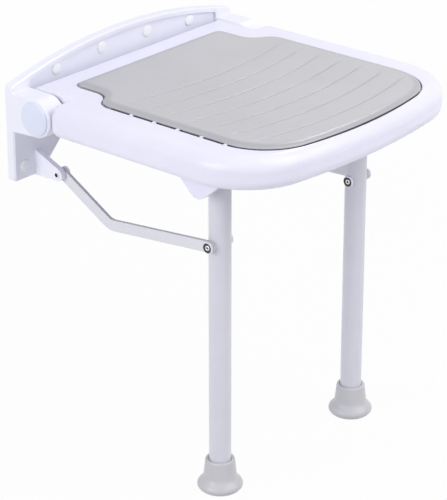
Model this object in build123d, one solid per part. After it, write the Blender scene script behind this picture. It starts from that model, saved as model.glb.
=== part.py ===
from build123d import *
from math import atan2, cos, radians, sin, sqrt, tan
import os

# Fold-up shower seat: a wall plate, a seat hinged on it, two legs that stay upright as the seat
# folds, and two cranked struts that keep them so.
# Millimetres. The wall is the plane Y = 0 and the room is at -Y. X runs along the wall.
# Z = 0 is the height of the seat's hinge axis, X = 0 is the middle of the seat.
# The right side (+X) is modelled, and the left side is its mirror image.

# Layout of the pivots
HINGE_HEIGHT = 411.0        # hinge axis above the floor
HINGE_OUT = 44.5            # hinge axis out from the wall
LEG_SETBACK = 116.2         # leg axis behind the seat's front edge
LEG_INSET = 68.7            # leg axis from the seat's side
LINK_DROP = 76.0            # from a seat pivot down to the strut pivot below it
FOLD_GAP = 5.0              # folded leg to the underside of the seat

# Clearances
PIN_FIT = 0.05              # radial play of a pin in its hole
SIDE_PLAY = 0.3             # play between faces that turn on each other

# Wall plate
PLATE_INSET = 3.5           # plate's end inside the seat's side
PLATE_THICK = 11.0
ARCH_TOP = 54.0             # above the hinge axis, at the middle
ARCH_END = 29.0             # above the hinge axis, at the ends
PLATE_MID_DROP = 22.0       # lower edge between the tabs, below the hinge axis
TAB_FOOT = 43.0             # straight lower edge of a tab
TAB_SLANT = 45.0            # degrees, inner edge of a tab
PLATE_CORNER_R = 4.0
PLATE_BEVEL = 1.6
ARCH_LIP = 6.0              # raised rim along the arch
PANEL_RECESS = 3.0          # depth of the panel inside that rim

# Hinge ears
EAR_WIDTH = 27.0
EAR_R = 22.4
EAR_ROOT_DROP = 25.0        # lower end of the ear's root, below the hinge axis
EAR_BEVEL = 1.8
HINGE_PIN_R = 6.0
HINGE_HEAD_R = 10.0
HINGE_HEAD_THICK = 4.5
HINGE_CAP_R = 19.5
HINGE_CAP_SEAT = 2.5        # depth of the cap's seat in the ear
HINGE_CAP_RISE = 3.5
HINGE_CAP_BEVEL = 6.0
HINGE_COLLAR_R = 11.0       # bearing face of the seat's neck on the ear

# Wall screw holes and their caps
SCREW_R = 2.75
SCREW_CAP_R = 7.2
SCREW_CAP_SEAT = 3.0
SCREW_CAP_RISE = 2.2
SCREW_CAP_BEVEL = 2.0
INNER_SCREW = (38.5, 36.0)  # X and Z of the arch's inner pair
OUTER_SCREW = (112.5, 30.4)
TAB_SCREW_UP = 15.5         # from the tab's lower edge

# Strut brackets on the tabs
BRACKET_THICK = 6.5
BRACKET_TIP_R = 7.5
BRACKET_EDGE = 0.5          # tab's lower edge below the bracket's tip
BRACKET_ROOT = 31.5         # height of the bracket's root on the tab

# Struts and their pins
STRUT_WIDTH = 13.0
STRUT_THICK = 4.0
STRUT_SLANT = 2.3           # degrees, towards the leg as it runs out from the wall
STRUT_BEND_OUT = 70.5       # bend from the wall pivot, away from the wall
STRUT_BEND_DROP = 44.3      # bend below the wall pivot
STRUT_BEND_R = 22.0
STRUT_PIN_R = 3.0
STRUT_PIN_TAIL = 3.0        # how far the wall pin reaches into its nut
LEG_PIN_TAIL = 1.0          # how far the leg pin reaches past the tube
SADDLE_RISE = 0.8           # flat pressed on the tube for the strut, beyond the tube
SADDLE_R = 6.5
NUT_R = 6.5
NUT_THICK = 4.2
NUT_BEVEL = 1.2
LEG_NUT_RISE = 3.0          # leg nut beyond the tube
WALL_HEAD_R = 4.2
WALL_HEAD_THICK = 1.0
LEG_HEAD_R = 6.5
LEG_HEAD_THICK = 3.0
SOCKET_R = 2.6              # hexagon socket, over its corners
SOCKET_DEPTH = 1.4

# Legs
TUBE_R = 12.5
TUBE_WALL = 1.5
LEG_TOP = 16.0              # tube's end above its pivot
PLUG_DEPTH = 7.0
LEG_PIN_R = 4.0
LEG_PIN_HEAD_R = 7.0
LEG_PIN_HEAD_THICK = 4.0
LEG_PIN_BLIND = 3.5         # plastic left in front of the pin's end

# Feet
FOOT_HEIGHT = 38.0
FOOT_TOP_R = 16.3
FOOT_WAIST_R = 19.0
FOOT_WAIST = 15.0           # height where the flare starts
FOOT_FLARE_R = 26.0
FOOT_KNEE_R = 21.5          # middle of the flare
FOOT_KNEE = 10.5
FOOT_FLARE = 5.5            # height of the widest ring
FOOT_SOLE_R = 22.5
FOOT_SOCKET_FLOOR = 8.0
FOOT_BEVEL = 1.2

# Seat shell
SEAT_HALF_WIDTH = 188.5
SEAT_FRONT = 372.0          # middle of the front edge, out from the wall
SEAT_REAR = 17.0            # rear edge, out from the wall
RIM_TOP = 22.0              # above the hinge axis
RIM_BOTTOM = 15.0           # below the hinge axis
NECK_GAP = 2.4              # neck to ear
SHOULDER_GAP = 4.0          # shoulder to the front of the ear
FRONT_CORNER_R = 83.5
FRONT_BOW_R = 780.0
SHOULDER_R = 7.0
RIM_TOP_R = 15.0
RIM_BOTTOM_R = 12.0
NECK_EDGE_R = 1.5
RIM_WIDTH = 26.0            # closed rim round the ribbed underside
NECK_WALL = 8.0
DECK_THICK = 5.0
RIB_THICK = 3.0
RIB_RISE = 3.0              # rib's lower edge above the rim's underside
RIB_PITCH = 56.0            # ribs that run front to back
CROSS_RIB_PITCH = 56.0      # ribs that run side to side
CROSS_RIB_FIRST = 40.0      # first of them, in front of the hinge axis
HINGE_BOSS_R = 13.0
HINGE_BOSS_LENGTH = 18.0

# Lobes under the seat that hold a leg between them
LOBE_THICK = 7.0
LOBE_R = 13.8
LOBE_GAP = 1.0              # lobe or its boss to the tube
OUTER_LOBE_INSET = 32.0     # outer lobe from the seat's side
LOBE_REAR_SLANT = 45.0      # degrees
LOBE_FRONT_SLANT = 41.0
LOBE_FRONT_R = 40.0
LOBE_BOSS_R = 12.0
LEG_ROOM_MARGIN = 3.0       # round the swing of the leg's upper end

# Seat pad
PAD_SIDE_INSET = 40.0       # from the seat's side
PAD_NECK_STEP = 27.0        # the neck is narrower by this on each side
PAD_REAR = 46.0
PAD_NECK_END = 80.0         # the neck's straight sides end here
PAD_SIDE_START = 124.0      # the full width starts here
PAD_FRONT_INSET = 13.0      # from the seat's front edge
PAD_CORNER_R = 64.0
PAD_BOW_R = 560.0
PAD_NECK_CORNER_R = 11.0
PAD_RISE = 4.5              # pad's top above the rim
PAD_BEVEL = 3.0
POCKET_DEPTH = 4.0
POCKET_GAP = 3.0            # round the pad
GROOVE_COUNT = 7
GROOVE_FIRST = 152.0        # first groove at the middle, out from the wall
GROOVE_PITCH = 29.5
GROOVE_BOW_R = 500.0
GROOVE_INSET = 20.0         # groove's end from the pad's side
GROOVE_WIDTH = 1.6
GROOVE_DEPTH = 1.0
NUB_COUNT = 5
NUB_FIRST = 157.0
NUB_PITCH = 33.2
NUB_SIZE = 3.4
NUB_REACH = 2.5             # from the pocket's wall towards the pad
NUB_ROOT = 1.2              # from the pocket's wall into the rim
NUB_RISE = 1.0              # above the rim

# Places worked out from the sizes above
PLATE_HALF_WIDTH = SEAT_HALF_WIDTH - PLATE_INSET
LEG_HALF_PITCH = SEAT_HALF_WIDTH - LEG_INSET
LEG_OUT = SEAT_FRONT - LEG_SETBACK
PAD_HALF_WIDTH = SEAT_HALF_WIDTH - PAD_SIDE_INSET
PAD_NECK_HALF = PAD_HALF_WIDTH - PAD_NECK_STEP
PAD_FRONT = SEAT_FRONT - PAD_FRONT_INSET
GROOVE_HALF = PAD_HALF_WIDTH - GROOVE_INSET
FLOOR = -HINGE_HEIGHT
EAR_IN = PLATE_HALF_WIDTH - EAR_WIDTH
NECK_HALF = EAR_IN - NECK_GAP
SHOULDER_OUT = HINGE_OUT + EAR_R + SHOULDER_GAP
LEG_PIVOT_DROP = RIM_BOTTOM + TUBE_R + FOLD_GAP
TAB_DROP = LINK_DROP + BRACKET_TIP_R + BRACKET_EDGE
HINGE = (-HINGE_OUT, 0.0)
WALL_PIVOT = (-HINGE_OUT, -LINK_DROP)
LEG_PIVOT = (-LEG_OUT, -LEG_PIVOT_DROP)
STRUT_PIVOT = (-LEG_OUT, -LEG_PIVOT_DROP - LINK_DROP)

TUBE_OUT = LEG_HALF_PITCH + TUBE_R
TUBE_IN = LEG_HALF_PITCH - TUBE_R
SADDLE_OUT = TUBE_OUT + SADDLE_RISE
SLANT = radians(STRUT_SLANT)
STRUT_ROOM = STRUT_THICK / 2 / cos(SLANT) + STRUT_WIDTH / 2 * tan(SLANT) + SIDE_PLAY
STRUT_LEG_X = SADDLE_OUT + STRUT_ROOM
STRUT_WALL_X = STRUT_LEG_X + (LEG_OUT - HINGE_OUT) * tan(SLANT)
BRACKET_IN = STRUT_WALL_X + STRUT_ROOM
BRACKET_OUT = BRACKET_IN + BRACKET_THICK
INNER_LOBE_OUT = TUBE_IN - LOBE_GAP
INNER_LOBE_IN = INNER_LOBE_OUT - LOBE_THICK
OUTER_LOBE_OUT = SEAT_HALF_WIDTH - OUTER_LOBE_INSET
OUTER_LOBE_IN = OUTER_LOBE_OUT - LOBE_THICK
HINGE_BOSS_IN = NECK_HALF - HINGE_BOSS_LENGTH
HEAD_SEAT = PLATE_HALF_WIDTH - HINGE_CAP_SEAT - HINGE_HEAD_THICK - SIDE_PLAY
POCKET_FLOOR = RIM_TOP - POCKET_DEPTH
DECK_UNDER = POCKET_FLOOR - DECK_THICK
TAB_SCREW = ((BRACKET_OUT + PLATE_HALF_WIDTH) / 2, TAB_SCREW_UP - TAB_DROP)
SCREWS = [INNER_SCREW, OUTER_SCREW, TAB_SCREW]
SCREW_FLOORS = [PLATE_THICK - PANEL_RECESS, PLATE_THICK - PANEL_RECESS, PLATE_THICK]


# Helpers

def rod(radius, x_from, x_to, centre):
    """Round bar along X between two distances from the middle; centre is (Y, Z)."""
    return Pos((x_from + x_to) / 2, *centre) * Rot(0, 90, 0) * Cylinder(radius, x_to - x_from)


def hex_bar(radius, x_from, x_to, centre):
    """Hexagonal bar along X."""
    plane = Plane((x_from, *centre), x_dir=(0, 1, 0), z_dir=(1, 0, 0))
    return extrude(plane * RegularPolygon(radius, 6), x_to - x_from)


def slab(profile, x_from, x_to):
    """Plate with a YZ profile between two distances from the middle."""
    return extrude(Pos(x_from, 0, 0) * profile, x_to - x_from, dir=(1, 0, 0))


def block(x_from, x_to, y_from, y_to, z_from, z_to):
    """Box between three pairs of limits."""
    centre = Pos((x_from + x_to) / 2, (y_from + y_to) / 2, (z_from + z_to) / 2)
    return centre * Box(x_to - x_from, y_to - y_from, z_to - z_from)


def raised_disc(radius, thick, rise, bevel):
    """Disc on the XY plane whose upper edge slopes in by bevel as it rises, axis along +Z."""
    top = thick + rise
    profile = Polyline((0, 0), (radius, 0), (radius, thick), (radius - bevel, top), (0, top), close=True)
    return revolve(Plane.XZ * make_face(profile.edges()), Axis.Z)


def pair(name, right):
    """The right-hand piece and its mirror image, by node name."""
    return {f"{name}_right": right, f"{name}_left": mirror(right, about=Plane.YZ)}


# Wall plate

def plate_outline():
    """Arched plate with two tabs, on the wall plane."""
    mid = PLATE_HALF_WIDTH - TAB_FOOT - (TAB_DROP - PLATE_MID_DROP) / tan(radians(TAB_SLANT))
    foot = PLATE_HALF_WIDTH - TAB_FOOT
    lower = [
        (PLATE_HALF_WIDTH, ARCH_END),
        (PLATE_HALF_WIDTH, -TAB_DROP),
        (foot, -TAB_DROP),
        (mid, -PLATE_MID_DROP),
    ]
    edge = Polyline(*lower, *[(-x, z) for x, z in reversed(lower)])
    arch = ThreePointArc((-PLATE_HALF_WIDTH, ARCH_END), (0, ARCH_TOP), (PLATE_HALF_WIDTH, ARCH_END))
    face = make_face([*edge.edges(), arch])
    return fillet(face.vertices(), PLATE_CORNER_R)


def panel_outline():
    """The sunk panel inside the arch's rim, on the wall plane."""
    sag = ARCH_TOP - ARCH_END
    arch_r = (PLATE_HALF_WIDTH ** 2 + sag ** 2) / (2 * sag)
    inner_r = arch_r - ARCH_LIP
    half = EAR_IN
    side_top = ARCH_TOP - arch_r + sqrt(inner_r ** 2 - half ** 2)
    bottom = ARCH_LIP - PLATE_MID_DROP
    sides = Polyline((half, side_top), (half, bottom), (-half, bottom), (-half, side_top))
    arch = ThreePointArc((-half, side_top), (0, ARCH_TOP - ARCH_LIP), (half, side_top))
    face = make_face([*sides.edges(), arch])
    return fillet(face.vertices(), PLATE_CORNER_R)


def ear():
    """Right-hand hinge ear: a barrel drawn back to the plate, with its bore and cap seat."""
    root_height = EAR_R + EAR_ROOT_DROP
    root = Pos(-PLATE_THICK / 2, EAR_R - root_height / 2) * Rectangle(PLATE_THICK / 2, root_height)
    barrel = Pos(*HINGE) * Circle(EAR_R)
    profile = Plane.YZ * make_hull([*barrel.edges(), *root.edges()])
    body = slab(profile, EAR_IN, PLATE_HALF_WIDTH)
    rims = body.faces().filter_by(Axis.X)
    body = chamfer([edge for face in rims for edge in face.edges()], EAR_BEVEL)
    body -= rod(HINGE_CAP_R + PIN_FIT, PLATE_HALF_WIDTH - HINGE_CAP_SEAT, PLATE_HALF_WIDTH, HINGE)
    body -= rod(HINGE_HEAD_R + PIN_FIT, HEAD_SEAT, PLATE_HALF_WIDTH, HINGE)
    return body - rod(HINGE_PIN_R + PIN_FIT, EAR_IN, PLATE_HALF_WIDTH, HINGE)


def bracket():
    """Right-hand strut bracket: a triangle on the tab with a round tip."""
    foot = PLATE_THICK / 2
    root = Pos(-foot, BRACKET_ROOT / 2 - TAB_DROP) * Rectangle(foot, BRACKET_ROOT)
    tip = Pos(*WALL_PIVOT) * Circle(BRACKET_TIP_R)
    profile = Plane.YZ * make_hull([*tip.edges(), *root.edges()])
    return slab(profile, BRACKET_IN, BRACKET_OUT)


def wall_plate():
    plate = extrude(Plane.XZ * plate_outline(), PLATE_THICK)
    front = plate.faces().sort_by(Axis.Y)[0]
    plate = chamfer(front.edges(), PLATE_BEVEL)
    panel = Plane.XZ.offset(PLATE_THICK - PANEL_RECESS) * panel_outline()
    plate -= extrude(panel, PANEL_RECESS)
    for side in (Plane.YZ, None):
        for part in (ear(), bracket()):
            plate += mirror(part, about=side) if side else part
    for (x, z), front_face in zip(SCREWS, SCREW_FLOORS):
        for sign in (1, -1):
            axis = Pos(sign * x, 0, z) * Rot(90, 0, 0)
            plate -= axis * Cylinder(SCREW_R, 2 * front_face)
            seat = Cylinder(SCREW_CAP_R + PIN_FIT, SCREW_CAP_SEAT, align=(Align.CENTER, Align.CENTER, Align.MAX))
            plate -= Pos(0, -front_face, 0) * axis * seat
    hole = rod(STRUT_PIN_R + PIN_FIT, BRACKET_IN, BRACKET_OUT, WALL_PIVOT)
    return plate - hole - mirror(hole, about=Plane.YZ)


def screw_caps():
    """Six round covers over the wall screws."""
    names = ("arch_inner", "arch_outer", "tab")
    caps = {}
    for name, (x, z), front_face in zip(names, SCREWS, SCREW_FLOORS):
        seat = SCREW_CAP_SEAT - front_face
        disc = raised_disc(SCREW_CAP_R, SCREW_CAP_SEAT, SCREW_CAP_RISE, SCREW_CAP_BEVEL)
        cap = Pos(x, seat, z) * Rot(90, 0, 0) * disc
        caps |= pair(f"screw_cap_{name}", cap)
    return caps


# Hinge between plate and seat

def hinge_pin():
    """Headed pin from the ear into the seat's neck; the hinge cap holds its head in the ear."""
    pin = rod(HINGE_PIN_R, HINGE_BOSS_IN, HEAD_SEAT, HINGE)
    return pin + rod(HINGE_HEAD_R, HEAD_SEAT, HEAD_SEAT + HINGE_HEAD_THICK, HINGE)


def hinge_cap():
    disc = raised_disc(HINGE_CAP_R, HINGE_CAP_SEAT, HINGE_CAP_RISE, HINGE_CAP_BEVEL)
    return Pos(PLATE_HALF_WIDTH - HINGE_CAP_SEAT, *HINGE) * Rot(0, 90, 0) * disc


# Seat shell

def bowed_front(half, front, corner_r, bow_r):
    """Corner, bow and corner of a front edge, and the Y where the straight sides end."""
    across = half - corner_r
    along = sqrt((bow_r - corner_r) ** 2 - across ** 2)
    side_end = bow_r - front - along
    turn = atan2(along, across)
    mid = (across + corner_r * cos(turn / 2), side_end - corner_r * sin(turn / 2))
    end = (across + corner_r * cos(turn), side_end - corner_r * sin(turn))
    right = ThreePointArc((half, side_end), mid, end)
    bow = ThreePointArc(end, (0, -front), (-end[0], end[1]))
    left = ThreePointArc((-end[0], end[1]), (-mid[0], mid[1]), (-half, side_end))
    return [right, bow, left], side_end


def rim_outline(inset):
    """Seat in front of its shoulders, drawn in all round by inset."""
    half = SEAT_HALF_WIDTH - inset
    rear = -SHOULDER_OUT - inset
    front, side_end = bowed_front(half, SEAT_FRONT - inset, FRONT_CORNER_R - inset, FRONT_BOW_R - inset)
    back = Polyline((-half, side_end), (-half, rear), (half, rear), (half, side_end))
    return make_face([*front, *back.edges()])


def pad_outline(grow):
    """Pad with its narrow neck at the rear, widened all round by grow."""
    half = PAD_HALF_WIDTH + grow
    neck = PAD_NECK_HALF + grow
    rear = grow - PAD_REAR
    front, side_end = bowed_front(half, PAD_FRONT + grow, PAD_CORNER_R + grow, PAD_BOW_R + grow)
    edges = list(front)
    for sign in (1, -1):
        start = (sign * neck, -PAD_NECK_END)
        end = (sign * half, -PAD_SIDE_START)
        mid = ((start[0] + end[0]) / 2, (start[1] + end[1]) / 2)
        edges.append(TangentArc(start, mid, tangent=(0, -1)))
        edges.append(TangentArc(end, mid, tangent=(0, 1)))
        edges.append(Line(end, (sign * half, side_end)))
    back = Polyline((-neck, -PAD_NECK_END), (-neck, rear), (neck, rear), (neck, -PAD_NECK_END))
    face = make_face([*edges, *back.edges()])
    corners = face.vertices().group_by(Axis.Y)[-1]
    return fillet(corners, PAD_NECK_CORNER_R + grow)


def rim_body():
    """Solid of the seat's outer form: rounded rim and narrow neck."""
    rim = extrude(Pos(0, 0, -RIM_BOTTOM) * rim_outline(0), RIM_TOP + RIM_BOTTOM)
    rim = fillet(rim.faces().sort_by(Axis.Z)[-1].edges().sort_by(Axis.Y)[:-1], RIM_TOP_R)
    rim = fillet(rim.faces().sort_by(Axis.Z)[0].edges().sort_by(Axis.Y)[:-1], RIM_BOTTOM_R)
    rim = fillet(rim.faces().sort_by(Axis.Y)[-1].edges(), SHOULDER_R)
    neck_front = -SHOULDER_OUT - SHOULDER_R - NECK_EDGE_R
    neck = block(-NECK_HALF, NECK_HALF, neck_front, -SEAT_REAR, -RIM_BOTTOM, RIM_TOP)
    level = neck.faces().filter_by(Axis.Z)
    loose = [edge for face in level for edge in face.edges() if edge.center().Y > neck_front + NECK_EDGE_R / 2]
    return rim + fillet(loose, NECK_EDGE_R)


def lobe_profile():
    """Lobe round the leg pivot that runs up into the seat."""
    y, z = LEG_PIVOT
    rear, front = radians(LOBE_REAR_SLANT), radians(LOBE_FRONT_SLANT)
    rear_touch = (y + LOBE_R * sin(rear), z - LOBE_R * cos(rear))
    rear_top = (rear_touch[0] + (-RIM_BOTTOM - rear_touch[1]) / tan(rear), -RIM_BOTTOM)
    front_touch = (y - LOBE_R * sin(front), z - LOBE_R * cos(front))
    rise = -RIM_BOTTOM - front_touch[1] - LOBE_FRONT_R * (1 - cos(front))
    front_turn = (front_touch[0] - rise / tan(front), front_touch[1] + rise)
    front_top = (front_turn[0] - LOBE_FRONT_R * sin(front), -RIM_BOTTOM)
    edges = [
        Line(rear_top, rear_touch),
        ThreePointArc(rear_touch, (y, z - LOBE_R), front_touch),
        Line(front_touch, front_turn),
        TangentArc(front_turn, front_top, tangent=(-cos(front), sin(front))),
        *Polyline(front_top, (front_top[0], DECK_UNDER), (rear_top[0], DECK_UNDER), rear_top).edges(),
    ]
    return Plane.YZ * make_face(edges)


def underside_cells():
    """The hollows between the ribs of the underside."""
    height = DECK_UNDER + RIM_BOTTOM
    neck_half = NECK_HALF - NECK_WALL
    outline = rim_outline(RIM_WIDTH)
    neck_end = -SHOULDER_OUT - RIM_WIDTH - NECK_WALL
    neck_rear = -SEAT_REAR - NECK_WALL
    neck = Pos(0, (neck_end + neck_rear) / 2) * Rectangle(2 * neck_half, neck_rear - neck_end)
    hollow = extrude(Pos(0, 0, -RIM_BOTTOM) * (outline + neck), height)
    ribs_z = (RIB_RISE - RIM_BOTTOM, DECK_UNDER)
    inner_rib = INNER_LOBE_OUT - LOBE_THICK / 2
    outer_rib = OUTER_LOBE_OUT - LOBE_THICK / 2
    lengthwise = [n * RIB_PITCH for n in range(int((inner_rib - RIB_THICK) / RIB_PITCH) + 1)]
    for x in [*lengthwise, inner_rib, outer_rib]:
        for sign in {1, -1 if x else 1}:
            low, high = sign * x - RIB_THICK / 2, sign * x + RIB_THICK / 2
            hollow -= block(low, high, -SEAT_FRONT, -SEAT_REAR, *ribs_z)
    y = -HINGE_OUT - CROSS_RIB_FIRST
    while y > RIM_WIDTH - SEAT_FRONT:
        hollow -= block(-SEAT_HALF_WIDTH, SEAT_HALF_WIDTH, y - RIB_THICK / 2, y + RIB_THICK / 2, *ribs_z)
        y -= CROSS_RIB_PITCH
    return hollow


def leg_seat():
    """What the right-hand leg adds to the shell: two lobes and a boss, as one solid each."""
    profile = lobe_profile()
    inner = slab(profile, INNER_LOBE_IN, INNER_LOBE_OUT)
    outer = slab(profile, OUTER_LOBE_IN, OUTER_LOBE_OUT)
    return [inner, outer + rod(LOBE_BOSS_R, TUBE_OUT + LOBE_GAP, OUTER_LOBE_IN, LEG_PIVOT)]


def leg_room():
    """Room between the lobes for the swing of the leg's upper end."""
    swing = sqrt(LEG_TOP ** 2 + TUBE_R ** 2) + LEG_ROOM_MARGIN
    y, z = LEG_PIVOT
    return block(INNER_LOBE_OUT, OUTER_LOBE_IN, y - swing, y + swing, z, z + swing)


def seat_shell():
    shell = rim_body()
    shell -= underside_cells()
    boss = rod(HINGE_BOSS_R, HINGE_BOSS_IN, NECK_HALF, HINGE)
    boss += block(HINGE_BOSS_IN, NECK_HALF, HINGE[0] - HINGE_BOSS_R, HINGE[0] + HINGE_BOSS_R, 0, DECK_UNDER)
    collar = NECK_HALF + NECK_GAP - SIDE_PLAY
    boss += rod(HINGE_COLLAR_R, NECK_HALF, collar, HINGE)
    bore = rod(HINGE_PIN_R + PIN_FIT, HINGE_BOSS_IN, collar, HINGE)
    blind = OUTER_LOBE_OUT - LEG_PIN_BLIND
    leg_bore = rod(LEG_PIN_R + PIN_FIT, INNER_LOBE_IN, blind, LEG_PIVOT)
    pocket_edge = PAD_HALF_WIDTH + POCKET_GAP
    for flip in (False, True):
        added = [boss]
        removed = [bore, leg_bore]
        room = leg_room()
        if flip:
            room = mirror(room, about=Plane.YZ)
            added = [mirror(part, about=Plane.YZ) for part in added]
            removed = [mirror(part, about=Plane.YZ) for part in removed]
        shell -= room
        for part in leg_seat():
            added.append(mirror(part, about=Plane.YZ) if flip else part)
        for part in added:
            shell += part
        for part in removed:
            shell -= part
    pocket = extrude(Pos(0, 0, POCKET_FLOOR) * pad_outline(POCKET_GAP), POCKET_DEPTH)
    shell -= pocket
    for n in range(NUB_COUNT):
        for sign in (1, -1):
            y = -NUB_FIRST - n * NUB_PITCH
            nub = block(pocket_edge - NUB_REACH, pocket_edge + NUB_ROOT, y - NUB_SIZE / 2, y + NUB_SIZE / 2,
                        POCKET_FLOOR, RIM_TOP + NUB_RISE)
            shell += nub if sign > 0 else mirror(nub, about=Plane.YZ)
    return shell


# Seat pad

def seat_pad():
    """Soft pad in the shell's pocket, with a sloped edge and bowed grooves."""
    top = RIM_TOP + PAD_RISE
    pad = extrude(Pos(0, 0, POCKET_FLOOR) * pad_outline(0), top - POCKET_FLOOR)
    pad = chamfer(pad.faces().sort_by(Axis.Z)[-1].edges(), PAD_BEVEL)
    sag = GROOVE_BOW_R - sqrt(GROOVE_BOW_R ** 2 - GROOVE_HALF ** 2)
    for n in range(GROOVE_COUNT):
        y = -GROOVE_FIRST - n * GROOVE_PITCH
        bow = ThreePointArc((-GROOVE_HALF, y + sag), (0, y), (GROOVE_HALF, y + sag))
        pad -= extrude(Pos(0, 0, top - GROOVE_DEPTH) * SlotArc(bow, GROOVE_WIDTH), GROOVE_DEPTH)
    return pad


# Legs and feet

def upright(radius, z_from, z_to):
    """Round bar on the right-hand leg's axis."""
    return Pos(LEG_HALF_PITCH, -LEG_OUT, (z_from + z_to) / 2) * Cylinder(radius, z_to - z_from)


def tube_top():
    return LEG_PIVOT[1] + LEG_TOP


def tube_bottom():
    return FLOOR + FOOT_SOCKET_FLOOR


def leg_tube():
    """Tube with a raised flat where the strut bears on it."""
    tube = upright(TUBE_R, tube_bottom(), tube_top())
    tube += rod(SADDLE_R, LEG_HALF_PITCH, SADDLE_OUT, STRUT_PIVOT)
    tube -= upright(TUBE_R - TUBE_WALL, tube_bottom(), tube_top())
    tube -= rod(LEG_PIN_R + PIN_FIT, TUBE_IN, TUBE_OUT, LEG_PIVOT)
    return tube - rod(STRUT_PIN_R + PIN_FIT, TUBE_IN, SADDLE_OUT, STRUT_PIVOT)


def leg_plug():
    """Plug that closes the tube's upper end, clear of the pivot pin."""
    depth = min(PLUG_DEPTH, LEG_TOP - LEG_PIN_R - SIDE_PLAY)
    return upright(TUBE_R - TUBE_WALL - PIN_FIT, tube_top() - depth, tube_top())


def leg_pivot_pin():
    pin = rod(LEG_PIN_R, INNER_LOBE_IN, OUTER_LOBE_OUT - LEG_PIN_BLIND, LEG_PIVOT)
    tip = INNER_LOBE_IN - LEG_PIN_HEAD_THICK
    pin += rod(LEG_PIN_HEAD_R, tip, INNER_LOBE_IN, LEG_PIVOT)
    return pin - hex_bar(SOCKET_R, tip, tip + SOCKET_DEPTH, LEG_PIVOT)


def foot():
    """Rubber foot: a collar on the tube that flares to a wide sole."""
    side = [
        (0, FOOT_HEIGHT),
        (FOOT_TOP_R - FOOT_BEVEL, FOOT_HEIGHT),
        (FOOT_TOP_R, FOOT_HEIGHT - FOOT_BEVEL),
        (FOOT_WAIST_R, FOOT_WAIST),
        (FOOT_KNEE_R, FOOT_KNEE),
        (FOOT_FLARE_R, FOOT_FLARE),
        (FOOT_SOLE_R, 0),
        (0, 0),
    ]
    body = revolve(Plane.XZ * make_face(Polyline(*side, close=True).edges()), Axis.Z)
    body = Pos(LEG_HALF_PITCH, -LEG_OUT, FLOOR) * body
    return body - upright(TUBE_R + PIN_FIT, tube_bottom(), FLOOR + FOOT_HEIGHT)


# Struts and their fasteners

def strut_bar():
    """Cranked flat bar in an upright plane that slants from the bracket in to the leg."""
    plane = Plane((STRUT_WALL_X, -HINGE_OUT, 0), x_dir=(sin(SLANT), cos(SLANT), 0), z_dir=(cos(SLANT), -sin(SLANT), 0))
    bend = (-STRUT_BEND_OUT / cos(SLANT), -LINK_DROP - STRUT_BEND_DROP)
    end = (-(LEG_OUT - HINGE_OUT) / cos(SLANT), STRUT_PIVOT[1])
    line = FilletPolyline((0, -LINK_DROP), bend, end, radius=STRUT_BEND_R)
    bar = extrude(plane * SlotArc(line, STRUT_WIDTH), STRUT_THICK / 2, both=True)
    for x, pivot in ((STRUT_WALL_X, WALL_PIVOT), (STRUT_LEG_X, STRUT_PIVOT)):
        bar -= rod(STRUT_PIN_R + PIN_FIT, x - STRUT_ROOM, x + STRUT_ROOM, pivot)
    return bar


def wall_nut():
    """Cap nut on the inboard end of the wall pin."""
    seat = STRUT_WALL_X - STRUT_ROOM
    disc = raised_disc(NUT_R, NUT_THICK - NUT_BEVEL, NUT_BEVEL, NUT_BEVEL)
    nut = Pos(seat, *WALL_PIVOT) * Rot(0, -90, 0) * disc
    return nut - rod(STRUT_PIN_R + PIN_FIT, seat - STRUT_PIN_TAIL, seat, WALL_PIVOT)


def wall_pin():
    """Pin through bracket and strut, with a socket in its outer head."""
    tip = BRACKET_OUT + WALL_HEAD_THICK
    pin = rod(STRUT_PIN_R, STRUT_WALL_X - STRUT_ROOM - STRUT_PIN_TAIL, BRACKET_OUT, WALL_PIVOT)
    pin += rod(WALL_HEAD_R, BRACKET_OUT, tip, WALL_PIVOT)
    return pin - hex_bar(SOCKET_R, tip - SOCKET_DEPTH, tip, WALL_PIVOT)


def leg_pin():
    """Pin through strut and leg tube, with a socket in its outer head."""
    seat = STRUT_LEG_X + STRUT_ROOM
    tip = seat + LEG_HEAD_THICK
    pin = rod(STRUT_PIN_R, TUBE_IN - LEG_PIN_TAIL, seat, STRUT_PIVOT)
    pin += rod(LEG_HEAD_R, seat, tip, STRUT_PIVOT)
    return pin - hex_bar(SOCKET_R, tip - SOCKET_DEPTH, tip, STRUT_PIVOT)


def leg_nut():
    """Socket nut on the inner side of the leg, saddled to the tube."""
    reach = TUBE_R - sqrt(TUBE_R ** 2 - NUT_R ** 2)
    tip = TUBE_IN - LEG_NUT_RISE
    nut = rod(NUT_R, tip, TUBE_IN + reach, STRUT_PIVOT)
    nut -= upright(TUBE_R + PIN_FIT, STRUT_PIVOT[1] - 2 * NUT_R, STRUT_PIVOT[1] + 2 * NUT_R)
    nut -= rod(STRUT_PIN_R + PIN_FIT, TUBE_IN - LEG_PIN_TAIL, TUBE_IN + reach, STRUT_PIVOT)
    return nut - hex_bar(SOCKET_R, tip, tip + SOCKET_DEPTH, STRUT_PIVOT)


# All nodes

def nodes():
    made = {"wall_plate": wall_plate(), "seat_shell": seat_shell(), "seat_pad": seat_pad()}
    made |= screw_caps()
    sided = {
        "hinge_pin": hinge_pin(),
        "hinge_cap": hinge_cap(),
        "leg_tube": leg_tube(),
        "leg_plug": leg_plug(),
        "leg_pivot_pin": leg_pivot_pin(),
        "foot": foot(),
        "strut_bar": strut_bar(),
        "strut_wall_pin": wall_pin(),
        "strut_wall_nut": wall_nut(),
        "strut_leg_pin": leg_pin(),
        "strut_leg_nut": leg_nut(),
    }
    for name, right in sided.items():
        made |= pair(name, right)
    return made


os.makedirs("parts", exist_ok=True)
for node, shape in nodes().items():
    export_step(shape, f"parts/{node}.step")
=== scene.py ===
from math import atan2, cos, pi, sin, sqrt, tau

import bpy
import numpy as np
from mathutils import Matrix, Vector


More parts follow.
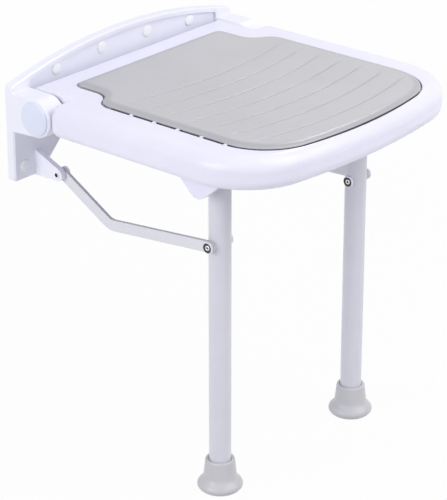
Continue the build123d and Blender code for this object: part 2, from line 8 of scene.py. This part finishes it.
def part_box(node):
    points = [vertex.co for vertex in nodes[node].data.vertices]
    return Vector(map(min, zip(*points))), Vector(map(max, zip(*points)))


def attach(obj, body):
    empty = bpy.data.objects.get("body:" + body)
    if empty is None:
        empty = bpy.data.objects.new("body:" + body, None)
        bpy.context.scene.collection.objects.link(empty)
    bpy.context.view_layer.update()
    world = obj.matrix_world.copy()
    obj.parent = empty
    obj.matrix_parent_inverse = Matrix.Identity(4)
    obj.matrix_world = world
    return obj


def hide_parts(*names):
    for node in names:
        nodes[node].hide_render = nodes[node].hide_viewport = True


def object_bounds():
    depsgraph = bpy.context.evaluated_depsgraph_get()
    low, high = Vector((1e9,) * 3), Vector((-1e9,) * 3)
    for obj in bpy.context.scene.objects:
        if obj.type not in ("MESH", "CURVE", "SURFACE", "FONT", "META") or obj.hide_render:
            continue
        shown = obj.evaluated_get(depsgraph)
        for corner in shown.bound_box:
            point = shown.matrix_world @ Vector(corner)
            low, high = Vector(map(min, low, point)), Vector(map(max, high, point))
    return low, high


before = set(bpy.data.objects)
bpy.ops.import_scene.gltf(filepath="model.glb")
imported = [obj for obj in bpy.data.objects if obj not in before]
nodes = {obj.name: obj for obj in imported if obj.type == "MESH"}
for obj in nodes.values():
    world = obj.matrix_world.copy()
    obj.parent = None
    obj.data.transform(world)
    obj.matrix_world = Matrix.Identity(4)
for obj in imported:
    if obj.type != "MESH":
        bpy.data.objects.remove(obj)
cad_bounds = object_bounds()

# Sizes are in metres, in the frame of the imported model.

SIDES = (("left", -1), ("right", 1))  # name, and sign of X

# Camera, as fitted to the photograph
CAMERA_AT = Vector((-1.8716, -1.7595, 0.9146))
CAMERA_TARGET = Vector((-0.0488, -0.2000, -0.1579))
CAMERA_LENS = 168.55
CAMERA_SENSOR = 36.0
CAMERA_REACH = 50.0

# Lamps: place, aim, diameter and power in watts
LAMPS = {
    "key": ((-2.35, 0.1, 0.75), (0.0, -0.2, -0.1), 1.6, 24.8),
    "top": ((0.55, -1.25, 2.0), (0.0, -0.2, 0.0), 1.8, 14.2),
    "front": ((0.7, -2.1, 1.3), (0.0, -0.1, 0.0), 2.0, 20.5),
    "rear": ((1.75, 0.65, 1.60), (0.0, -0.25, 0.0), 0.4, 5.0),
}

# World and floor
WHITE = (1.0, 1.0, 1.0, 1.0)
WORLD_TONE = (0.93, 0.94, 1.0, 1.0)
WORLD_STRENGTH = 0.50
FLOOR_TONE = (0.66, 0.66, 0.67, 1.0)
FLOOR_ROUGHNESS = 0.9
FLOOR_HALF = 4.0
FLOOR_DROP = 0.0002              # floor below the soles
FLOOR_FADE = (0.8, 2.4)          # the floor turns white between these distances
FLOOR_WHITE = (0.965, 1.0)       # share of white at those distances

# Noise of the materials: scale and detail
TONE_NOISE = (14.0, 4.0)
WEAR_NOISE = (55.0, 3.0)
GRAIN_DETAIL = 2.0
GRAIN_HEIGHT = 0.0004
NOISE_BAND = (0.3, 0.7)          # noise values at the low and the high tone
# painted shade in the pad's grooves and along its rolled lip: its tone, and its share where the mesh's value
# is 1
PAINTED_SHADE_TONE = (0.20, 0.20, 0.215, 1.0)
PAINTED_SHADE_SHARE = 0.28

# Seat pad: its plan, where the box of the node doesn't give it, and its edge
PAD_NECK_STEP = 0.0270
PAD_NECK_END = 0.0800
PAD_SIDE_START = 0.1240
PAD_CORNER_R = 0.0640
PAD_BOW_R = 0.5600
PAD_NECK_CORNER_R = 0.0110
PAD_RISE = 0.0045                # top above the rim
PAD_ROLL_IN = 0.0090             # how far in the top starts to roll off
PAD_ROLL_DOWN = 0.0034           # how far down it rolls
PAD_CROWN = 0.0006
PAD_CROWN_IN = 0.0800            # how far in the crown is full
PAD_LIP_SHADE = 1.0              # painted shade in the middle of the lip, against 1 in a groove
PAD_UNDERCUT = 0.0016            # the edge draws in below the rim's level
PAD_FRONT_PRESS = 0.0014         # the soft front edge swells into the pocket's gap
PAD_SIDE_RINGS = (               # how far in, and height over the rim's level
    (0.0, 0.0006),
    (0.0004, 0.0001),
    (0.7 * PAD_UNDERCUT, -0.0005),
    (PAD_UNDERCUT, -0.0012),
)
PAD_GAP_SHADE_RING = 2                # the painted shade of the pocket's gap, a dark band on the pad's side, starts below this many rings, in front of the neck

# Mesh of the pad
PAD_EDGE_STEPS = (0.0, 0.0001, 0.0003, 0.0007, 0.0013, 0.0021, 0.0031, 0.0043, 0.0057, 0.0073, 0.0092, 0.0115)
PAD_COLUMNS = 100
PAD_ROWS = 600
NECK_CORNER_POINTS = 9
SWELL_POINTS = 14
FRONT_POINTS = 24
REAR_CORNER_POINT = 5            # point of the outline taken as the grid's rear corner
FRONT_CORNER_POINT = 36          # and, counted from the end, as its front corner

# Grooves of the pad
GROOVE_COUNT = 7
GROOVE_FIRST = 0.1520
GROOVE_PITCH = 0.0295
GROOVE_BOW_R = 0.5000
GROOVE_INSET = 0.0200
GROOVE_HALF_WIDTH = 0.0010
GROOVE_DEPTH = 0.0012
GROOVE_RUN_OUT = 0.0050          # past the groove's end
GROOVE_FADE = 0.0160             # length over which it runs out

# Domed caps, as shares of their thickness or radius
TURNS = 72
DOME_FOOT = (0.999, 0.05)        # radius at the base, and height of the full radius
DOME_EDGE = 0.62                 # height where the dome starts
DOME_FULLNESS = 0.75
DOME_STEPS = 14
DOME_TIP_R = 0.00001

# Feet: profile as shares of the foot's radius and height, from the sole to the collar
FOOT_PROFILE = (
    (0.02, 0.0), (0.80, 0.0), (0.865, 0.012), (0.93, 0.05), (0.985, 0.10), (1.0, 0.145), (0.992, 0.185),
    (0.965, 0.225), (0.915, 0.27), (0.86, 0.31), (0.80, 0.355), (0.755, 0.40), (0.728, 0.46), (0.71, 0.55),
    (0.69, 0.68), (0.668, 0.82), (0.652, 0.93), (0.643, 0.965), (0.622, 0.99), (0.59, 1.0), (0.55, 0.998),
    (0.515, 0.985),
)
FOOT_SOCKET_TOP = 0.965          # shares of the foot's height
FOOT_SOCKET_FLOOR = 0.30
FOOT_SOCKET_GAP = 0.0001
FOOT_AXIS_R = 0.0004

# Heads of the pins between struts and legs
HEAD_DEPTH = 0.0030
HEAD_SHANK_R = 0.0030
HEAD_TURNS = 48
HEAD_ROUND = 0.0007              # height of the rounded edge
HEAD_SHOULDER = (0.0005, 0.0002)  # its middle, in from the edge and down from the tip
HEAD_LAND = 0.0009               # highest line of the rim, in from the edge
RING_OUT_R = 0.0058
RING_IN_R = 0.0033
RING_DEPTH = 0.0012
RING_LEAN = 0.0003               # the ring's outer wall leans in
STUD_BEVEL = (0.0006, 0.0002, 0.0004)  # bright centre: in at the tip, in below it, down from the tip
HEX_R = 0.0013                   # socket in the middle of the head, in painted shade
HEX_LEAN = 0.0002
HEX_DEPTH = 0.0011
HEAD_AXIS_R = 0.0001
# rows in painted shade: the ring's groove and the socket
HEAD_SHADE_ROWS = (6, 7, 8, 11, 12)
HEAD_STEEL_ROWS = (0, 1, 9, 10)

# What counts as a socket's wall or a bar's edge, for their painted shade
SOCKET_R = 0.0027
HEAD_FACE_TURN = 0.9
HEAD_FACE_BAND = 0.0002
CUT_EDGE_TURN = 0.5

pad_low, pad_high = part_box("seat_pad")
PAD_HALF = pad_high.x
PAD_NECK_HALF = PAD_HALF - PAD_NECK_STEP
PAD_REAR = -pad_high.y
PAD_FRONT = -pad_low.y + PAD_FRONT_PRESS
GROOVE_HALF = PAD_HALF - GROOVE_INSET
RIM_LEVEL = pad_high.z - PAD_RISE


# Materials

def new_material(name):
    """A material with its principled shader, as (material, nodes, links, shader)."""
    material = bpy.data.materials.new(name)
    material.use_nodes = True
    tree = material.node_tree
    return material, tree.nodes, tree.links, tree.nodes["Principled BSDF"]


def speckle(nodes_, links, scale, detail):
    """Noise over the object's own coordinates."""
    place = nodes_.new("ShaderNodeTexCoord")
    noise = nodes_.new("ShaderNodeTexNoise")
    noise.inputs["Scale"].default_value = scale
    noise.inputs["Detail"].default_value = detail
    links.new(place.outputs["Object"], noise.inputs["Vector"])
    return noise


def ramp_between(nodes_, links, source, low, high):
    """Turns a noise into a band of colours or values."""
    ramp = nodes_.new("ShaderNodeValToRGB")
    for element, position, tone in zip(ramp.color_ramp.elements, NOISE_BAND, (low, high)):
        element.position = position
        element.color = (*tone, 1.0)
    links.new(source.outputs["Fac"], ramp.inputs["Fac"])
    return ramp


def textured(name, low, high, rough, grain_scale, grain_depth, coat=0.0, metal=0.0):
    """Colour that drifts between two tones, uneven roughness and a fine surface grain."""
    material, nodes_, links, shader = new_material(name)
    tone = ramp_between(nodes_, links, speckle(nodes_, links, *TONE_NOISE), low, high)
    links.new(tone.outputs["Color"], shader.inputs["Base Color"])
    smooth, dull = rough
    wear = ramp_between(nodes_, links, speckle(nodes_, links, *WEAR_NOISE), (smooth,) * 3, (dull,) * 3)
    links.new(wear.outputs["Color"], shader.inputs["Roughness"])
    grain = speckle(nodes_, links, grain_scale, GRAIN_DETAIL)
    bump = nodes_.new("ShaderNodeBump")
    bump.inputs["Strength"].default_value = grain_depth
    bump.inputs["Distance"].default_value = GRAIN_HEIGHT
    links.new(grain.outputs["Fac"], bump.inputs["Height"])
    links.new(bump.outputs["Normal"], shader.inputs["Normal"])
    shader.inputs["Coat Weight"].default_value = coat
    shader.inputs["Metallic"].default_value = metal
    return material


shell_plastic = textured(
    "shell_plastic", (0.83, 0.82, 0.95), (0.86, 0.85, 0.97), (0.30, 0.40), 900.0, 0.06, coat=0.1)
plate_plastic = textured(
    "plate_plastic", (0.875, 0.875, 0.965), (0.90, 0.90, 0.985), (0.34, 0.44), 900.0, 0.06)
hinge_plastic = textured(
    "hinge_plastic", (0.74, 0.78, 0.925), (0.77, 0.81, 0.945), (0.28, 0.38), 900.0, 0.04)
cap_plastic = textured(
    "cap_plastic", (0.925, 0.93, 0.95), (0.945, 0.95, 0.965), (0.26, 0.36), 900.0, 0.04)
pad_foam = textured(
    "pad_foam", (0.505, 0.498, 0.522), (0.535, 0.528, 0.552), (0.295, 0.305), 420.0, 0.04)
# painted shade: a dark band on the pad's side, in the gap between pad and pocket
pad_gap_painted_shade = textured(
    "pad_gap_painted_shade", (0.150, 0.150, 0.160), (0.190, 0.190, 0.200), (0.7, 0.85), 1500.0, 0.2)
white_coat = textured(
    "white_coat", (0.69, 0.69, 0.755), (0.73, 0.73, 0.795), (0.28, 0.40), 650.0, 0.05, coat=0.2)
strut_coat = textured(
    "strut_coat", (0.735, 0.735, 0.785), (0.775, 0.775, 0.825), (0.28, 0.40), 650.0, 0.05, coat=0.2)
foot_rubber = textured(
    "foot_rubber", (0.56, 0.555, 0.58), (0.61, 0.605, 0.63), (0.30, 0.40), 1100.0, 0.08)
plug_plastic = textured(
    "plug_plastic", (0.45, 0.45, 0.47), (0.50, 0.50, 0.52), (0.5, 0.6), 900.0, 0.1)
steel = textured(
    "steel", (0.62, 0.62, 0.63), (0.74, 0.74, 0.75), (0.16, 0.26), 1800.0, 0.04, metal=1.0)
# painted shade: a darker grey on the struts' edges
bar_edge_painted_shade = textured(
    "bar_edge_painted_shade", (0.535, 0.535, 0.56), (0.68, 0.68, 0.71), (0.4, 0.55), 900.0, 0.1)
# painted shade: near-black for the ring groove and the socket of a pin's head
recess_painted_shade = textured(
    "recess_painted_shade", (0.030, 0.030, 0.033), (0.055, 0.055, 0.06), (0.35, 0.5), 1500.0, 0.1)


def paint_groove_and_lip_shade(material):
    """Painted shade: darkens the colour in the grooves and along the rolled lip, as the mesh's value for it
    rises.
    """
    nodes_, links = material.node_tree.nodes, material.node_tree.links
    socket = nodes_["Principled BSDF"].inputs["Base Color"]
    tone = socket.links[0].from_socket
    painted_shade = nodes_.new("ShaderNodeAttribute")
    painted_shade.attribute_name = "painted_shade"
    weight = nodes_.new("ShaderNodeMath")
    weight.operation = "MULTIPLY"
    weight.inputs[1].default_value = PAINTED_SHADE_SHARE
    links.new(painted_shade.outputs["Fac"], weight.inputs[0])
    mix = nodes_.new("ShaderNodeMix")
    mix.data_type = "RGBA"
    mix.inputs["B"].default_value = PAINTED_SHADE_TONE
    links.new(weight.outputs[0], mix.inputs["Factor"])
    links.new(tone, mix.inputs["A"])
    links.new(mix.outputs["Result"], socket)


# painted shade in the pad's grooves and along its lip
paint_groove_and_lip_shade(pad_foam)


# Pieces in mesh code

def mesh_piece(name, verts, faces, materials, body, node):
    """A smooth mesh that rides on a body and stands for a node."""
    mesh = bpy.data.meshes.new(name)
    mesh.from_pydata([tuple(v) for v in verts], [], faces)
    for polygon in mesh.polygons:
        polygon.use_smooth = True
    piece = bpy.data.objects.new(name, mesh)
    bpy.context.scene.collection.objects.link(piece)
    for material in materials:
        mesh.materials.append(material)
    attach(piece, body)
    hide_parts(node)
    return piece


def arc(centre, radius, start, end, count):
    """Points of an arc between two angles."""
    x, y = centre
    return [(x + radius * cos(angle), y + radius * sin(angle)) for angle in np.linspace(start, end, count)]


def lathe(profile, centre, axis, turns):
    """Vertices and faces of a profile of (radius, height) turned about an axis through centre."""
    along = Vector(axis).normalized()
    side = along.orthogonal().normalized()
    across = along.cross(side)
    verts = []
    for radius, height in profile:
        for n in range(turns):
            angle = tau * n / turns
            out = (side * cos(angle) + across * sin(angle)) * radius
            verts.append(Vector(centre) + along * height + out)
    faces = []
    for row in range(len(profile) - 1):
        for n in range(turns):
            a, b = row * turns + n, row * turns + (n + 1) % turns
            faces.append((a, b, b + turns, a + turns))
    faces.append(tuple(reversed(range(turns))))
    faces.append(tuple((len(profile) - 1) * turns + n for n in range(turns)))
    return verts, faces


def front_curve():
    """Right half of the pad's front, from the side to the middle, as plan points."""
    across = PAD_HALF - PAD_CORNER_R
    along = sqrt((PAD_BOW_R - PAD_CORNER_R) ** 2 - across ** 2)
    centre_y = PAD_BOW_R - PAD_FRONT - along
    turn = atan2(along, across)
    corner = arc((across, centre_y), PAD_CORNER_R, 0.0, -turn, FRONT_POINTS)
    bow = arc((0.0, PAD_BOW_R - PAD_FRONT), PAD_BOW_R, -turn, -pi / 2, FRONT_POINTS)
    return corner + bow[1:]


def swell_curve():
    """The pad's side where it widens from the neck, as two arcs that meet halfway."""
    rise = PAD_HALF - PAD_NECK_HALF
    run = PAD_SIDE_START - PAD_NECK_END
    radius = (rise ** 2 + run ** 2) / (4 * rise)
    turn = 2 * atan2(rise, run)
    first = arc((PAD_NECK_HALF + radius, -PAD_NECK_END), radius, pi, pi + turn, SWELL_POINTS)
    second = arc((PAD_HALF - radius, -PAD_SIDE_START), radius, turn, 0.0, SWELL_POINTS)
    return first + second[1:]


def right_outline():
    """Right half of the pad's plan, from the middle of the rear edge to the middle of the front."""
    radius = PAD_NECK_CORNER_R
    rear = arc((PAD_NECK_HALF - radius, -PAD_REAR - radius), radius, pi / 2, 0.0, NECK_CORNER_POINTS)
    return np.array([(0.0, -PAD_REAR)] + rear + swell_curve() + front_curve())


def lengths_along(points):
    """Length of a polyline from its start to each of its points."""
    return np.r_[0.0, np.cumsum(np.hypot(*np.diff(points, axis=0).T))]


def resample(points, stations):
    """Points at shares of a polyline's length."""
    reach = lengths_along(points)
    stations = stations * reach[-1]
    return np.c_[np.interp(stations, reach, points[:, 0]), np.interp(stations, reach, points[:, 1])]


def edge_stations(span, count):
    """Shares from 0 to 1 that crowd together near both ends."""
    steps = np.array(PAD_EDGE_STEPS) / span
    return np.r_[steps, np.linspace(steps[-1], 1 - steps[-1], count)[1:-1], 1 - steps[::-1]]


def outline_distance(points, outline):
    """Shortest distance from each point to a closed outline."""
    best = np.full(len(points), np.inf)
    for a, b in zip(outline, np.roll(outline, -1, axis=0)):
        run = b - a
        share = np.clip(((points - a) @ run) / (run @ run), 0, 1)
        best = np.minimum(best, np.hypot(*(points - a - share[:, None] * run).T))
    return best


def pad_height(points, outline):
    """Height of the pad's upper face, crowned, rounded at its edge and grooved, and its painted shade in the
    grooves and along the lip.
    """
    inside = outline_distance(points, outline)
    height = pad_high.z + PAD_CROWN * np.sqrt(np.clip(inside / PAD_CROWN_IN, 0, 1)) - PAD_CROWN
    edge = np.clip(1 - inside / PAD_ROLL_IN, 0, 1)
    height -= PAD_ROLL_DOWN * (1 - np.sqrt(1 - edge ** 2))
    # painted shade along the rolled lip, darkest in the middle of the roll
    painted_shade = PAD_LIP_SHADE * np.sqrt(np.sin(pi * edge))
    x, y = points.T
    fade = np.clip((GROOVE_HALF + GROOVE_RUN_OUT - np.abs(x)) / GROOVE_FADE, 0, 1)
    for n in range(GROOVE_COUNT):
        centre_y = GROOVE_BOW_R - GROOVE_FIRST - n * GROOVE_PITCH
        off = np.hypot(x, y - centre_y) - GROOVE_BOW_R
        cut = np.exp(-(off / GROOVE_HALF_WIDTH) ** 2) * fade * (y < centre_y)
        # painted shade in the groove
        painted_shade += cut
        height -= GROOVE_DEPTH * cut
    return height, painted_shade


def pad_grid(outline_right):
    """Plan points between the pad's four edge curves, as rows and columns."""
    reach = lengths_along(outline_right)
    rear_corner = reach[REAR_CORNER_POINT] / reach[-1]
    front_corner = reach[-FRONT_CORNER_POINT] / reach[-1]
    us = edge_stations(2 * PAD_HALF, PAD_COLUMNS)
    vs = edge_stations(PAD_FRONT - PAD_REAR, PAD_ROWS)
    mirrored = np.c_[np.sign(us - 0.5), np.ones(len(us))]
    off_middle = np.abs(us - 0.5) * 2
    side = resample(outline_right, rear_corner + vs * (front_corner - rear_corner))
    rear = resample(outline_right, off_middle * rear_corner) * mirrored
    front = resample(outline_right, 1 - off_middle * (1 - front_corner)) * mirrored
    u, v = np.meshgrid(us, vs)
    u, v = u[..., None], v[..., None]
    grid = (1 - u) * (side * [-1, 1])[:, None] + u * side[:, None] + (1 - v) * rear[None] + v * front[None]
    grid -= (1 - v) * ((1 - u) * rear[0] + u * rear[-1]) + v * ((1 - u) * front[0] + u * front[-1])
    return grid


def border(rows, columns):
    """Indices round the edge of a grid of vertices."""
    loop = list(range(columns))
    loop += [row * columns + columns - 1 for row in range(1, rows)]
    loop += [(rows - 1) * columns + column for column in range(columns - 2, -1, -1)]
    return loop + [row * columns for row in range(rows - 2, 0, -1)]


def seat_pad():
    """Soft moulded pad: grooved top, rounded lip and a drawn-in side, painted dark in front of the neck as
    shade in the pocket's gap.
    """
    right = right_outline()
    outline = np.vstack([right, (right * [-1, 1])[-2:0:-1]])
    grid = pad_grid(right)
    rows, columns, _ = grid.shape
    flat = grid.reshape(-1, 2)
    heights, painted_shade = pad_height(flat, outline)
    verts = [(x, y, z) for (x, y), z in zip(flat, heights)]
    faces = []
    for row in range(rows - 1):
        for column in range(columns - 1):
            a = row * columns + column
            faces.append((a, a + columns, a + columns + 1, a + 1))
    loop = border(rows, columns)
    edge = flat[loop]
    along = np.roll(edge, -1, axis=0) - np.roll(edge, 1, axis=0)
    inward = np.c_[along[:, 1], -along[:, 0]] / np.hypot(*along.T)[:, None]
    rings = [(inset, RIM_LEVEL + over) for inset, over in PAD_SIDE_RINGS] + [(PAD_UNDERCUT, pad_low.z)]
    gap_shade_from = len(faces) + PAD_GAP_SHADE_RING * len(loop)
    last = loop
    for inset, z in rings:
        base = len(verts)
        verts += [(x, y, z) for x, y in edge + inward * inset]
        ring = list(range(base, base + len(loop)))
        for n, a in enumerate(last):
            m = (n + 1) % len(loop)
            faces.append((a, last[m], ring[m], ring[n]))
        last = ring
    faces.append(tuple(last))
    piece = mesh_piece("seat_pad_foam", verts, faces, [pad_foam, pad_gap_painted_shade], "seat", "seat_pad")
    # painted shade of the gap on the side rings in front of the neck
    for polygon in piece.data.polygons[gap_shade_from:]:
        if polygon.center.y < -PAD_SIDE_START:
            polygon.material_index = 1
    # the painted shade of the grooves and the lip, read by the pad's material
    shade = piece.data.attributes.new("painted_shade", "FLOAT", "POINT")
    shade.data.foreach_set("value", np.r_[painted_shade, np.zeros(len(verts) - len(painted_shade))])


def dome(name, node, axis, material):
    """Domed cap in the place of a node of the wall plate, rising along the axis."""
    low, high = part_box(node)
    along = Vector(axis)
    radius = (high.z - low.z) / 2
    thick = abs((high - low).dot(along))
    base = (low + high) / 2 - along * thick / 2
    edge = thick * DOME_EDGE
    foot_r, foot_height = DOME_FOOT
    profile = [(radius * foot_r, 0.0), (radius, thick * foot_height), (radius, edge)]
    for n in range(1, DOME_STEPS + 1):
        turn = n / DOME_STEPS * pi / 2
        profile.append((radius * cos(turn) ** DOME_FULLNESS + DOME_TIP_R, edge + (thick - edge) * sin(turn)))
    verts, faces = lathe(profile, base, along, TURNS)
    mesh_piece(name, verts, faces, [material], "wall_bracket", node)


def caps(side, sign):
    """Domed covers of the hinge and the wall screws on one side."""
    dome(f"hinge_cap_dome_{side}", f"hinge_cap_{side}", (sign, 0, 0), hinge_plastic)
    for place in ("arch_inner", "arch_outer", "tab"):
        dome(f"screw_cap_dome_{place}_{side}", f"screw_cap_{place}_{side}", (0, -1, 0), cap_plastic)


def foot(side):
    """Rubber foot with a rolled collar and a rounded flare."""
    node = f"foot_{side}"
    low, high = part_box(node)
    centre = ((low.x + high.x) / 2, (low.y + high.y) / 2, low.z)
    wide = (high.x - low.x) / 2
    tall = high.z - low.z
    tube_low, tube_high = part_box(f"leg_tube_{side}")
    tube_r = (tube_high.y - tube_low.y) / 2 + FOOT_SOCKET_GAP
    profile = [(r * wide, h * tall) for r, h in FOOT_PROFILE]
    profile += [(tube_r, FOOT_SOCKET_TOP * tall), (tube_r, FOOT_SOCKET_FLOOR * tall)]
    profile += [(FOOT_AXIS_R, FOOT_SOCKET_FLOOR * tall)]
    verts, faces = lathe(profile, centre, (0, 0, 1), TURNS)
    mesh_piece(f"foot_rubber_{side}", verts, faces, [foot_rubber], f"leg_{side}", node)


def ringed_head(name, node, axis, body):
    """Pin or nut with a bright centre in a ring of painted shade, turned about the middle of the node."""
    low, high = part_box(node)
    along = Vector(axis)
    head_r = (high.z - low.z) / 2
    length = abs((high - low).dot(along))
    tip = (low + high) / 2 + along * length / 2
    shank = min(HEAD_SHANK_R, head_r)
    shoulder_in, shoulder_down = HEAD_SHOULDER
    stud_top, stud_side, stud_down = STUD_BEVEL
    profile = [
        (shank, -length),
        (shank, -HEAD_DEPTH),
        (head_r, -HEAD_DEPTH),
        (head_r, -HEAD_ROUND),
        (head_r - shoulder_in, -shoulder_down),
        (head_r - HEAD_LAND, 0.0),
        (RING_OUT_R, -shoulder_down),
        (RING_OUT_R - RING_LEAN, -RING_DEPTH),
        (RING_IN_R, -RING_DEPTH),
        (RING_IN_R - stud_side, -stud_down),
        (RING_IN_R - stud_top, 0.0),
        (HEX_R, 0.0),
        (HEX_R - HEX_LEAN, -HEX_DEPTH),
        (HEAD_AXIS_R, -HEX_DEPTH),
    ]
    verts, faces = lathe(profile, tip, along, HEAD_TURNS)
    piece = mesh_piece(name, verts, faces, [plate_plastic, recess_painted_shade, steel], body, node)
    polygons = piece.data.polygons
    for index, rows in ((1, HEAD_SHADE_ROWS), (2, HEAD_STEEL_ROWS)):
        for row in rows:
            for polygon in polygons[row * HEAD_TURNS:(row + 1) * HEAD_TURNS]:
                polygon.material_index = index
    # the socket's floor in painted shade
    polygons[-1].material_index = 1


def leg_fasteners(side, sign):
    """Outer head and inner nut of the pin between strut and leg."""
    ringed_head(f"strut_leg_bolt_{side}", f"strut_leg_pin_{side}", (sign, 0, 0), f"leg_{side}")
    ringed_head(f"strut_leg_cap_{side}", f"strut_leg_nut_{side}", (-sign, 0, 0), f"leg_{side}")


# Carried-over nodes

def finish_node(name, *materials):
    """Gives a node its materials, with the first one all over, and returns its mesh."""
    mesh = nodes[name].data
    mesh.materials.clear()
    for material in materials:
        mesh.materials.append(material)
    for polygon in mesh.polygons:
        polygon.material_index = 0
    return mesh


def paint_socket_shade(name, material):
    """Painted shade: a dark second material in the socket of a pin along X."""
    mesh = finish_node(name, material, recess_painted_shade)
    low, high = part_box(name)
    centre = (low + high) / 2
    half = (high.x - low.x) / 2
    for polygon in mesh.polygons:
        off = polygon.center - centre
        faces_out = abs(polygon.normal.x) > HEAD_FACE_TURN and abs(abs(off.x) - half) < HEAD_FACE_BAND
        if sqrt(off.y ** 2 + off.z ** 2) < SOCKET_R and not faces_out:
            polygon.material_index = 1


def shade_bar_edges(name):
    """Bar coated on its flat sides, with painted shade on its edges: a darker grey."""
    for polygon in finish_node(name, strut_coat, bar_edge_painted_shade).polygons:
        # the edges get the painted shade
        if abs(polygon.normal.x) < CUT_EDGE_TURN:
            polygon.material_index = 1


def dress_nodes():
    """Materials of every node that stays."""
    finish_node("wall_plate", plate_plastic)
    finish_node("seat_shell", shell_plastic)
    for side, _ in SIDES:
        finish_node(f"leg_tube_{side}", white_coat)
        finish_node(f"leg_plug_{side}", plug_plastic)
        finish_node(f"strut_wall_nut_{side}", plate_plastic)
        finish_node(f"hinge_pin_{side}", steel)
        shade_bar_edges(f"strut_bar_{side}")
        paint_socket_shade(f"strut_wall_pin_{side}", plate_plastic)
        paint_socket_shade(f"leg_pivot_pin_{side}", steel)


# Stage

def sees_background(nodes_, links):
    """1 for rays from the camera or a mirror or glass, 0 for light."""
    path = nodes_.new("ShaderNodeLightPath")
    seen = path.outputs["Is Camera Ray"]
    for name in ("Is Glossy Ray", "Is Transmission Ray"):
        either = nodes_.new("ShaderNodeMath")
        either.operation = "MAXIMUM"
        links.new(seen, either.inputs[0])
        links.new(path.outputs[name], either.inputs[1])
        seen = either.outputs[0]
    return seen


def studio_world():
    """White where it is seen, dimmer where it lights."""
    world = bpy.data.worlds.new("studio")
    bpy.context.scene.world = world
    world.use_nodes = True
    nodes_, links = world.node_tree.nodes, world.node_tree.links
    back = nodes_["Background"]
    back.inputs["Color"].default_value = WORLD_TONE
    back.inputs["Strength"].default_value = WORLD_STRENGTH
    seen = nodes_.new("ShaderNodeBackground")
    seen.inputs["Color"].default_value = WHITE
    seen.inputs["Strength"].default_value = 1.0
    mix = nodes_.new("ShaderNodeMixShader")
    links.new(sees_background(nodes_, links), mix.inputs[0])
    links.new(back.outputs[0], mix.inputs[1])
    links.new(seen.outputs[0], mix.inputs[2])
    links.new(mix.outputs[0], nodes_["World Output"].inputs["Surface"])


def floor_material():
    """Pale floor that takes a soft shadow, and turns white further out."""
    material, nodes_, links, shader = new_material("floor")
    shader.inputs["Base Color"].default_value = FLOOR_TONE
    shader.inputs["Roughness"].default_value = FLOOR_ROUGHNESS
    glow = nodes_.new("ShaderNodeEmission")
    glow.inputs["Color"].default_value = WHITE
    glow.inputs["Strength"].default_value = 1.0
    place = nodes_.new("ShaderNodeTexCoord")
    reach = nodes_.new("ShaderNodeVectorMath")
    reach.operation = "LENGTH"
    links.new(place.outputs["Object"], reach.inputs[0])
    fade = nodes_.new("ShaderNodeMapRange")
    for end, distance, white in zip(("Min", "Max"), FLOOR_FADE, FLOOR_WHITE):
        fade.inputs[f"From {end}"].default_value = distance
        fade.inputs[f"To {end}"].default_value = white
    links.new(reach.outputs["Value"], fade.inputs["Value"])
    share = nodes_.new("ShaderNodeMath")
    share.operation = "MULTIPLY"
    links.new(sees_background(nodes_, links), share.inputs[0])
    links.new(fade.outputs["Result"], share.inputs[1])
    mix = nodes_.new("ShaderNodeMixShader")
    links.new(share.outputs[0], mix.inputs[0])
    links.new(shader.outputs[0], mix.inputs[1])
    links.new(glow.outputs[0], mix.inputs[2])
    links.new(mix.outputs[0], nodes_["Material Output"].inputs["Surface"])
    return material


def studio_floor():
    """Square floor just under the feet."""
    low = cad_bounds[0][2] - FLOOR_DROP
    corners = [(x * FLOOR_HALF, y * FLOOR_HALF, low) for x, y in ((-1, -1), (1, -1), (1, 1), (-1, 1))]
    mesh = bpy.data.meshes.new("floor")
    mesh.from_pydata(corners, [], [(0, 1, 2, 3)])
    mesh.materials.append(floor_material())
    floor = bpy.data.objects.new("floor", mesh)
    bpy.context.scene.collection.objects.link(floor)


def aim(obj, at, target):
    """Places an object and turns its -Z axis towards a point."""
    obj.matrix_world = Matrix.Translation(at) @ (target - at).to_track_quat("-Z", "Y").to_matrix().to_4x4()


def soft_lamp(name, at, target, size, power):
    """Round area lamp."""
    lamp = bpy.data.lights.new(name, "AREA")
    lamp.shape = "DISK"
    lamp.size = size
    lamp.energy = power
    obj = bpy.data.objects.new(name, lamp)
    bpy.context.scene.collection.objects.link(obj)
    aim(obj, Vector(at), Vector(target))


def camera():
    """Camera in the place of the photograph's."""
    data = bpy.data.cameras.new("camera")
    data.lens = CAMERA_LENS
    data.sensor_width = CAMERA_SENSOR
    data.clip_end = CAMERA_REACH
    obj = bpy.data.objects.new("camera", data)
    bpy.context.scene.collection.objects.link(obj)
    aim(obj, CAMERA_AT, CAMERA_TARGET)
    bpy.context.scene.camera = obj


dress_nodes()
seat_pad()
for side, sign in SIDES:
    caps(side, sign)
for side, sign in SIDES:
    foot(side)
    leg_fasteners(side, sign)
studio_world()
studio_floor()
for name, lamp in LAMPS.items():
    soft_lamp(name, *lamp)
camera()
bpy.context.scene.view_settings.view_transform = "Standard"
